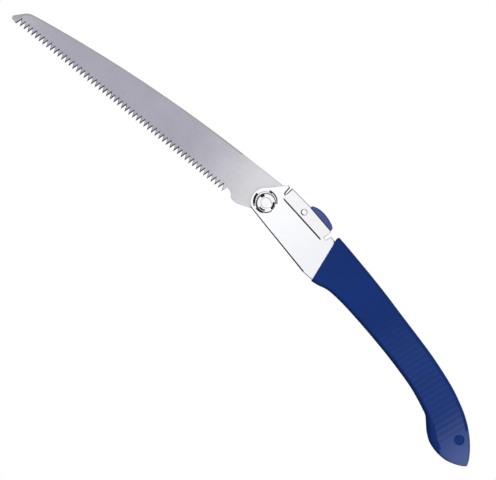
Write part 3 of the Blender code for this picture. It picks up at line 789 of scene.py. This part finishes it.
def build_pivot(chrome, dark, grey):
    """Cup washer, flanged nut and bolt."""
    seat = PLATE_OUTER + GAP
    floor = seat + CUP_SHEET
    rim = seat + CUP_RIM
    profile = [(0, seat), (CUP_RADIUS - 0.2, seat), (CUP_RADIUS, seat + 0.2), (CUP_RADIUS, rim - 0.75),
               (CUP_MIDDLE, rim - 0.5), (CUP_INNER, rim - 0.27), (CUP_CREST, rim - 0.08),
               (CUP_CREST - 0.1, rim), (CUP_CREST - 0.2, rim - 0.06), (CUP_CREST - 0.4, floor), (0, floor)]
    cup = turned("fine_pivot_cup_washer", profile, CUP_CENTRE)
    drill(cup, (0, 0), BUSH_INNER, segments=96)
    finish(cup, "handle", "fastener_chrome", "pivot_cup_washer", chrome, dark, grey)
    # painted shade and dark reflections on parts of the cup's sloping rims
    paint_shade_rings(cup, CUP_SHADE, CUP_CENTRE)
    build_nut(chrome, dark, grey, rim + GAP)

    shank_end = BOLT_END - BOLT_DOME
    shank = [(BOLT_HEAD[-1][0], -seat), (BOLT_RADIUS, -seat), (BOLT_RADIUS, shank_end)]
    dome = [(x * BOLT_RADIUS, shank_end + y * BOLT_DOME) for x, y in arc((0, 0), 1.0, 10, 80, 7)]
    bolt = turned("fine_pivot_bolt", BOLT_HEAD + shank + dome + [(0, BOLT_END)])
    combine(bolt, prism("socket", hexagon(2.9), -DEEP, -4.9))
    finish(bolt, "handle", "fastener_chrome", "pivot_bolt", chrome)


def build_nut(chrome, dark, grey, low):
    """A flanged hexagon nut with chamfered corners and three locking dents by its flats, whose walls are
    painted black as shade.
    """
    high = low + NUT_HEIGHT
    flange = [(0, low), (FLANGE_RADIUS - 0.1, low), (FLANGE_RADIUS, low + 0.1), (FLANGE_RADIUS, low + 0.3),
              (FLANGE_CREST, low + 0.85), (FLANGE_CREST - 0.35, low + 1.1), (FLANGE_CREST - 0.55, low + 1.2),
              (0, low + 1.35)]
    nut = turned("fine_pivot_nut", flange)
    block = prism("block", hexagon(NUT_FLATS, NUT_TURN), low + 0.4, high + 0.5)
    trim = [(0, low + 0.2), (8.0, low + 0.2), (8.0, high - 1.3), (6.4, high - 0.62), (5.5, high - 0.12),
            (5.2, high), (0, high)]
    combine(block, turned("trim", trim), "INTERSECT")
    combine(nut, block, "UNION")
    add_materials(nut, chrome, dark)
    for middle, reach, inner, outer in LOCK_DENTS:
        outline = arc((0, 0), outer, middle - reach, middle + reach, 12)
        outline += arc((0, 0), inner, middle + reach, middle - reach, 12)
        dent = prism("dent", outline, low + 0.5, high + 1.0)
        add_materials(dent, chrome, dark)
        # painted shade: every face of the dent cutter, and so each dent's walls, gets the black steel
        for face in dent.data.polygons:
            face.material_index = 1
        combine(nut, dent)
    drill(nut, (0, 0), BUSH_INNER, segments=96)
    finish(nut, "handle", "fastener_chrome", "pivot_nut", grey)
    # painted shade: a grey ring on the flange's slope, black on one side
    paint_shade_rings(nut, NUT_SHADE, (0, 0))


# ---- frame

def build_frame(chrome, dark):
    """The bent channel, with softened rims and a wider polished slope along its lower edge."""
    rim = FRAME_RIM
    corners = [(0.9, 22.7, 0.4, rim), (-2.1, 18.8, 4.0, rim), (-4.5, 15.2, 4.0, rim), (-7.0, 10.9, 2.0, rim)]
    nose = arc((0, 0), FRAME_NOSE_RADIUS, 142, 247, 30)
    for index, (x, y) in enumerate(nose):
        share = smoothstep(NOSE_WIDENS, 1.0, index / (len(nose) - 1))
        corners.append((x, y, 0.0, rim + (NOSE_RIM - rim) * share))
    corners += [(14.0, FRAME_BOTTOM + 0.25, 0.0, FRAME_SLOPE), (NECK_START, FRAME_BOTTOM, 7.0, NECK_RIM),
                (*NECK_FOOT, 5.0, rim), (*NECK_TOP, 4.0, rim), (TAIL_START, TAIL_BOTTOM, 3.0, rim),
                (TAIL_END - 4.0, TAIL_BOTTOM, 1.0, rim), (TAIL_END, TAIL_BOTTOM + 4.0, 1.0, rim),
                (TAIL_END, FRAME_TOP, 0.0, rim), (52.9, FRAME_TOP, 0.5, rim), (52.4, 17.7, 1.0, rim),
                (42.6, 17.7, 1.0, rim), (40.6, 21.4, 0.5, rim), (17.0, 21.4, 0.5, rim),
                (15.8, 15.8, 0.6, rim), (5.8, 15.8, 0.3, 0.9), (4.4, 16.1, 0.4, 1.1),
                (3.65, 17.2, 0.4, 1.0), (2.9, 22.2, 0.3, rim)]
    channel = edged_plate("fine_steel_frame", corners, PLATE_OUTER, 1.15)
    bend(channel, [(200.0, FRAME_TOP), (-50.0, FRAME_TOP)], PLATE_OUTER, FRAME_BEND)
    inside = [(-DEEP, -DEEP), (TAIL_END + DEEP, -DEEP), (TAIL_END + DEEP, WEB_UNDERSIDE),
              (CUTOUT_END, WEB_UNDERSIDE), (CUTOUT_END, DEEP), (CUTOUT_START, DEEP),
              (CUTOUT_START, WEB_UNDERSIDE), (-DEEP, WEB_UNDERSIDE)]
    combine(channel, prism("inside", inside, -PLATE_INNER, PLATE_INNER))
    drill(channel, (0, 0), PIVOT_HOLE)
    for place, radius in ((LEVER_PIN, LEVER_PIN_RADIUS), (STOP_PIN, STOP_PIN_RADIUS),
                          (ANCHOR_PIN, ANCHOR_PIN_RADIUS), (SCREWS["front"], SCREW_RADIUS),
                          (SCREWS["middle"], SCREW_RADIUS)):
        drill(channel, place, radius + GAP)
    finish(channel, "handle", "frame_chrome", "steel_frame", chrome, dark)
    # painted shade: sloping faces of the rim in front of the lever get the black steel
    left, right, low, high = FRAME_SLIT
    paint_shade(channel, 1, lambda x, y, normal: left < x < right and low < y < high
          and normal.x >= FRAME_SLIT_FACING)


# ---- lever

def build_lever(chrome, dark, blue, steel, bright):
    """The pressed lever, its button, its rivet and its spring."""
    rim = LEVER_RIM
    corners = [(5.2, 12.2, 2.6, LEVER_SLOPE), (49.6, 14.4, 1.4, rim), (50.2, 25.6, 0.8, rim),
               (23.0, 25.0, 0.0, rim), (4.2, 23.4, 0.6, 1.0), (4.65, 16.9, 0.0, rim)]
    lever = edged_plate("fine_lock_lever", corners, LEVER_OUTER, 0.95)
    ends = [(70.0, 26.04)] + LEVER_TOP + [(-10.0, 22.15)]
    bend(lever, ends, LEVER_OUTER, LEVER_BEND)
    under = [(x, y - LEVER_SHEET) for x, y in LEVER_TOP]
    inside = [(-DEEP, -DEEP), (2 * DEEP, -DEEP), (2 * DEEP, under[0][1])] + under
    inside.append((-DEEP, under[-1][1] - 0.8))
    combine(lever, prism("inside", inside, -LEVER_INNER, LEVER_INNER))
    drill(lever, LEVER_PIN, LEVER_PIN_RADIUS + GAP)
    for x, underside in PEG_PLACES:
        combine(lever, peg("peg_hole", x, underside, PEG_RADIUS + GAP, -2.0, 6.0))
    finish(lever, "lever", "frame_chrome", "lock_lever", chrome, dark)
    # painted shade: sloping faces at the lever's front end get the black steel
    right, low, facing = LEVER_END
    paint_shade(lever, 1, lambda x, y, normal: x < right and y > low and normal.x <= facing)
    build_button(blue)
    build_rivet(bright)
    build_spring(steel)


def peg(name, x, underside, radius, low, high):
    """A pin that stands along Y on the underside of the lever's web."""
    made = turned(name, [(0, low), (radius, low), (radius, high), (0, high)], segments=32)
    stand = Matrix.Translation((x, underside, 0)) @ Matrix.Rotation(math.radians(-90), 4, "X")
    made.data.transform(TO_WORLD @ stand @ TO_WORLD.inverted())
    return made


def build_button(blue):
    """A domed button with rounded flanks, on two pegs through the web."""
    dome = smooth(BUTTON_DOME, 8)
    shares = [smoothstep(*BUTTON_SWELL, x) * (1.0 - BUTTON_EASED * smoothstep(*BUTTON_EASE, x))
              for x, _ in dome]
    levels = []
    for side in (-1, 1):
        for step in range(7):
            angle = math.radians(15 * step if side == 1 else 90 - 15 * step)
            height = side * (BUTTON_HALF - BUTTON_ROUND + BUTTON_ROUND * math.sin(angle))
            depth = BUTTON_ROUND * (1 - math.cos(angle))
            levels.append((height, [0.0, 0.0] + [share * depth for share in shares]))
    button = stack("fine_thumb_button", BUTTON_BASE + dome, levels)
    for x, underside in PEG_PLACES:
        combine(button, peg("peg", x, underside, PEG_RADIUS, -0.9, 2.6), "UNION")
    finish(button, "lever", "button_blue", "thumb_button", blue)


def build_rivet(chrome):
    """The rivet that the lever turns on, with a dished head at each end."""
    seat = LEVER_OUTER + GAP
    side = [(LEVER_PIN_RADIUS, seat), (2.6, seat), (2.75, seat + 0.15), (2.75, seat + 0.3),
            (2.0, seat + 1.05), (1.85, seat + 1.1), (1.2, seat + 0.65), (1.0, seat + 0.6), (0, seat + 0.6)]
    profile = [(radius, -height) for radius, height in reversed(side)] + side
    rivet = turned("fine_lever_pin", profile, LEVER_PIN, 64)
    finish(rivet, "handle", "fastener_chrome", "lever_pin", chrome)


def build_spring(steel):
    """Torsion spring: coils round the rivet, and one leg each way towards the rear."""
    line = [Vector((x, y, -SPRING_HALF)) for x, y in SPRING_LOWER_LEG]
    steps = int(SPRING_TURNS * COIL_STEPS)
    for step, (x, y) in enumerate(arc(LEVER_PIN, SPRING_RADIUS, -90, -90 - 360 * SPRING_TURNS, steps)):
        line.append(Vector((x, y, SPRING_HALF * (2 * step / steps - 1))))
    line += [Vector((x, y, SPRING_HALF)) for x, y in SPRING_UPPER_LEG]
    section = arc((0, 0), SPRING_WIRE, 0, 360, 12)[:-1]
    work = bmesh.new()
    rings = []
    for index, place in enumerate(line):
        along = (line[min(index + 1, len(line) - 1)] - line[max(index - 1, 0)]).normalized()
        across = along.cross(Vector((0, 0, 1))).normalized()
        over = across.cross(along)
        rings.append([place + across * out + over * up for out, up in section])
    loft(work, rings)
    spring = world_object("fine_lever_spring", work)
    finish(spring, "handle", "plain_steel", "lever_spring", steel)
    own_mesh(spring)


# ---- grip

def grip_half_width(share):
    """Half the grip's thickness, from 0 at the collar to 1 at the end of the pommel."""
    if share < COLLAR_SHARE:
        return GRIP_COLLAR_HALF + (GRIP_HALF - GRIP_COLLAR_HALF) * smoothstep(0, COLLAR_SHARE, share)
    if share > POMMEL_SHARE:
        fall = (share - POMMEL_SHARE) / (1 - POMMEL_SHARE)
        return GRIP_END_HALF + (GRIP_HALF - GRIP_END_HALF) * math.sqrt(max(0.0, 1 - fall ** POMMEL_POWER))
    return GRIP_HALF


def fall(radius, distance):
    """How far a rounded edge lies below its full height, at a distance from its front."""
    return radius * (1 - math.sqrt(1 - max(1 - distance / radius, 0.0) ** 2))


def rib_height(x, y, from_rim):
    """How deep the grip's side lies below its smooth face, for the cross ribs."""
    turn = math.radians(RIB_TURN)
    travel = x * math.cos(turn) + y * math.sin(turn)
    wave = 0.5 - 0.5 * math.cos(2 * math.pi * (travel - RIB_CREST) / RIB_PITCH)
    fade = smoothstep(RIB_START, RIB_FULL, travel) * (1 - smoothstep(RIB_LAST - RIB_FADE, RIB_LAST, travel))
    return RIB_DEPTH * wave * fade * smoothstep(RIB_MARGIN - 1.0, RIB_MARGIN + 0.6, from_rim)


def shoulder_rise(share):
    """How far out a rounded shoulder stands, from 0 at its outline to 1 where it is done."""
    return (1 - max(1 - share, 0.0) ** SHOULDER_POWER) ** (1 / SHOULDER_POWER)


def grip_section(top, bottom, half):
    """Points of one half of the grip's section, from its top edge round to its bottom edge."""
    top, bottom = Vector(top), Vector(bottom)
    height = (top - bottom).length
    down = (bottom - top) / height
    hook = math.exp(-((bottom.x - HOOK_MIDDLE) / HOOK_REACH) ** 4)
    upper = min(SHOULDER, SHOULDER_MOST * height)
    lower = min(SHOULDER + HOOK_SHOULDER * hook, SHOULDER_MOST * height)
    shares = [1 - math.cos(math.radians(90 * step / SHOULDER_STEPS)) for step in range(SHOULDER_STEPS)]
    depths = [upper * share for share in shares]
    flat = height - upper - lower
    depths += [upper + flat * step / FLAT_STEPS for step in range(FLAT_STEPS + 1)]
    depths += [height - lower * share for share in reversed(shares)]
    points = []
    for depth in depths:
        left = height - depth
        rise = shoulder_rise(depth / upper)
        if left < SHOULDER:
            rise = shoulder_rise(left / SHOULDER)
        rise *= 1 - HOOK_FALL * hook * max(1 - left / lower, 0.0)
        crown = CROWN * (2 * depth / height - 1) ** 2
        place = top + down * depth
        from_rim = min(depth - upper, left - lower) + SHOULDER
        out = (half - crown) * rise - rib_height(place.x, place.y, from_rim)
        points.append((place.x, place.y, max(out, GAP / 2)))
    return points


def grip_half(name, side):
    """One half of the grip, lofted between its top and bottom edges, before it is cut."""
    tops = smooth(GRIP_TOP, GRIP_STEPS)
    bottoms = smooth(GRIP_BOTTOM, GRIP_STEPS)
    work = bmesh.new()
    rings = []
    for index, (top, bottom) in enumerate(zip(tops, bottoms)):
        half = grip_half_width(index / (len(tops) - 1))
        ahead = top[0] - tops[0][0]
        half -= fall(COLLAR_EDGE, ahead)
        top = (top[0] + fall(COLLAR_CORNER, ahead) / 3, top[1] - fall(COLLAR_CORNER, ahead))
        rings.append([(x, y, side * z) for x, y, z in grip_section(top, bottom, half)])
    loft(work, rings)
    return world_object(name, work, sharp=40)


def tail_pocket():
    """The room for the frame in the grip, one gap larger all round."""
    return [(POCKET_START, -DEEP), (NECK_START, -DEEP), (NECK_FOOT[0] + GAP, NECK_FOOT[1] - 2 * GAP),
            (NECK_TOP[0] + GAP, NECK_TOP[1] - GAP), (TAIL_START, TAIL_BOTTOM - GAP),
            (TAIL_END + GAP, TAIL_BOTTOM - GAP), (TAIL_END + GAP, FRAME_TOP + GAP),
            (POCKET_START, FRAME_TOP + GAP)]


def cut_recess(half, side):
    """The shallow round recess in the side of the pommel."""
    floor = GRIP_HALF - RECESS_DEPTH
    well = [(0, floor), (RECESS_RADIUS - 0.3, floor), (RECESS_RADIUS, floor + 0.3),
            (RECESS_RADIUS, GRIP_HALF + 2.0), (0, GRIP_HALF + 2.0)]
    if side == -1:
        well = [(radius, -height) for radius, height in reversed(well)]
    combine(half, turned("well", well, RECESS, 64))


def cut_bores(half, side):
    """Blind holes for the screws in the front half, and stepped holes in the back half."""
    hole = SCREW_RADIUS + GAP
    around = SCREW_HEAD_RADIUS + GAP
    shoulder = SCREW_HEAD_BOTTOM - GAP
    bore = [(0, -1.0), (hole, -1.0), (hole, SCREW_TIP + GAP), (0, SCREW_TIP + GAP)]
    if side == -1:
        bore = [(0, -DEEP), (around, -DEEP), (around, shoulder), (hole, shoulder), (hole, 1.0), (0, 1.0)]
    for place in SCREWS.values():
        combine(half, turned("bore", bore, place, 48))


def paint_side_sheen(half):
    """Give the flat side and the end of the pommel the grip's second material, with its painted sheen."""
    for face in half.data.polygons:
        middle = (face.center - PIVOT) / MM
        on_side = abs(middle.z) > GRIP_END_HALF - 1.0 and abs(face.normal.z) > SHEEN_FLAT
        in_recess = math.dist(middle.xy, RECESS) < RECESS_RADIUS + 0.05
        face.material_index = int((on_side or middle.x > SHEEN_END) and not in_recess)


def build_grip(blue, painted_light):
    """Both halves, with the frame's pocket and the blade's slot between them."""
    slot = [(POCKET_START, -DEEP), (SLOT_CEILING[-1][0], -DEEP)] + SLOT_CEILING[::-1]
    for name, side in (("front", 1), ("back", -1)):
        half = grip_half("fine_grip_%s_half" % name, side)
        combine(half, prism("pocket", tail_pocket(), -LEVER_INNER, LEVER_INNER))
        combine(half, prism("slot", slot, -SLOT_HALF, SLOT_HALF))
        cut_recess(half, side)
        cut_bores(half, side)
        finish(half, "handle", "grip_blue", "grip_%s_half" % name, blue, painted_light)
        paint_side_sheen(half)


def build_screws(steel):
    """Cross-head screws, sunk in the back of the grip."""
    for end, place in SCREWS.items():
        neck = SCREW_HEAD_BOTTOM - 2 * GAP
        profile = [(0, SCREW_HEAD_TOP), (1.8, SCREW_HEAD_TOP + 0.05), (2.8, SCREW_HEAD_TOP + 0.25),
                   (3.4, SCREW_HEAD_TOP + 0.7), (SCREW_HEAD_RADIUS, SCREW_HEAD_TOP + 1.1),
                   (SCREW_HEAD_RADIUS, neck), (SCREW_RADIUS, neck), (SCREW_RADIUS, SCREW_TIP - 1.2),
                   (SCREW_RADIUS / 2, SCREW_TIP), (0, SCREW_TIP)]
        screw = turned("fine_grip_screw_" + end, profile, place, 48)
        x, y = place
        for wide, tall in (SCREW_CROSS, SCREW_CROSS[::-1]):
            cross = [(x - wide, y - tall), (x + wide, y - tall), (x + wide, y + tall), (x - wide, y + tall)]
            combine(screw, prism("cross", cross, SCREW_HEAD_TOP - 1.0, SCREW_HEAD_TOP + 1.1))
        finish(screw, "handle", "plain_steel", "grip_screw_" + end, steel)


# ---- the stage

def build_world():
    """A soft white studio: bright above, and a dark side to the lower left of the view."""
    world = bpy.data.worlds.new("studio")
    bpy.context.scene.world = world
    world.use_nodes = True
    background = world.node_tree.nodes["Background"]
    direction = add_node(background, "TexCoord").outputs["Generated"]
    x, y, z = separate(direction)
    flat = calculate("SQRT", calculate("ADD", calculate("MULTIPLY", x, x), calculate("MULTIPLY", y, y)))
    across = calculate("MULTIPLY", x, math.cos(DARK_SIDE))
    facing = calculate("ADD", across, calculate("MULTIPLY", y, math.sin(DARK_SIDE)))
    facing = calculate("DIVIDE", facing, calculate("MAXIMUM", flat, 0.001))
    dark = calculate("MULTIPLY", ramp(facing, 0.26, 0.46), ramp(z, 0.56, 0.40))
    rays = add_node(background, "LightPath").outputs
    dark = calculate("MULTIPLY", dark, rays["Is Glossy Ray"])
    lit = calculate("SUBTRACT", 1.0, calculate("MULTIPLY", dark, DARK_SHARE))
    strength = calculate("MULTIPLY", ramp(z, -0.25, 0.75, 0.30, 1.02), lit)
    seen = rays["Is Camera Ray"]
    unseen = calculate("SUBTRACT", 1.0, seen)
    strength = calculate("ADD", calculate("MULTIPLY", strength, unseen), seen)
    feed(background.inputs["Strength"], strength)
    feed(background.inputs["Color"], (1.0, 1.0, 1.0))


def build_floor():
    """A plain white floor that shines back as evenly as a light table."""
    bpy.ops.mesh.primitive_plane_add(size=FLOOR_SIZE, location=(0, 0, FLOOR_LEVEL))
    floor = bpy.context.object
    floor.name = "studio_floor"
    paper = bpy.data.materials.new("white_floor")
    paper.use_nodes = True
    shader = paper.node_tree.nodes["Principled BSDF"]
    glow = {"Base Color": (0.0, 0.0, 0.0), "Specular IOR Level": 0.0, "Emission Color": (1.0, 1.0, 1.0),
            "Emission Strength": 1.0}
    for name, value in glow.items():
        feed(shader.inputs[name], value)
    floor.data.materials.append(paper)
    floor.visible_diffuse = floor.visible_glossy = floor.visible_shadow = False


def build_lights():
    """One large soft light, high on the side of the pommel."""
    light = bpy.data.lights.new("soft_key", "AREA")
    light.shape = "DISK"
    light.size = KEY_SIZE
    light.energy = KEY_POWER
    key = place_object("soft_key", light)
    key.location = KEY_PLACE
    key.rotation_euler = (KEY_TARGET - KEY_PLACE).to_track_quat("-Z", "Y").to_euler()


def build_camera():
    """Straight above the saw, far away behind a long lens."""
    lens = bpy.data.cameras.new("view")
    lens.lens = LENS
    lens.sensor_width = SENSOR
    lens.clip_end = 100.0
    camera = place_object("view", lens)
    camera.location = VIEW_CENTRE + Vector((0, 0, VIEW_WIDTH * LENS / SENSOR))
    camera.rotation_euler = (0.0, 0.0, math.radians(VIEW_TURN))
    bpy.context.scene.camera = camera


def paint_nodes(made, *names):
    """Give one material to CAD pieces that stay."""
    for name in names:
        frame["nodes"][name].data.materials.clear()
        frame["nodes"][name].data.materials.append(made)


def main():
    """Every piece, its finish and the stage."""
    bpy.context.scene.view_settings.view_transform = "Standard"
    chrome = chrome_material("frame_chrome_plate", (0.955, 0.960, 0.985), (0.870, 0.885, 0.925), 0.07)
    satin = chrome_material("lever_chrome_plate", (0.905, 0.895, 0.915), (0.87, 0.87, 0.89), 0.07)
    bright = chrome_material("fastener_chrome_plate", (0.93, 0.93, 0.95), (0.93, 0.93, 0.95), 0.05)
    zinc = dull_metal("zinc_plated_steel", (0.56, 0.57, 0.59), (0.48, 0.50, 0.53), 0.36)
    # black and grey steel, used only as painted shade and dark reflections on sloping faces
    dark = dull_metal("black_painted_shade_steel", (0.02, 0.02, 0.022), (0.03, 0.03, 0.03), 0.5)
    grey = dull_metal("grey_painted_shade_steel", (0.11, 0.11, 0.12), (0.18, 0.18, 0.19), 0.45)
    brass = dull_metal("turned_brass", (0.72, 0.55, 0.27), (0.62, 0.46, 0.22), 0.34)
    nylon = nylon_material()
    button = button_material()

    build_blade(blade_material(), tooth_material(), spine_material())
    build_pivot(bright, dark, grey)
    build_frame(chrome, dark)
    build_lever(satin, dark, button, zinc, bright)
    build_grip(grip_material(), side_sheen_material())
    build_screws(zinc)
    paint_nodes(brass, "pivot_bush")
    paint_nodes(nylon, "thrust_washer_front", "thrust_washer_back")
    paint_nodes(zinc, "lock_lug", "blade_stop_pin", "spring_anchor_pin", "button_push_nut_front",
                "button_push_nut_rear", "screw_spacer_front", "screw_spacer_middle")
    build_world()
    build_floor()
    build_lights()
    build_camera()


main()
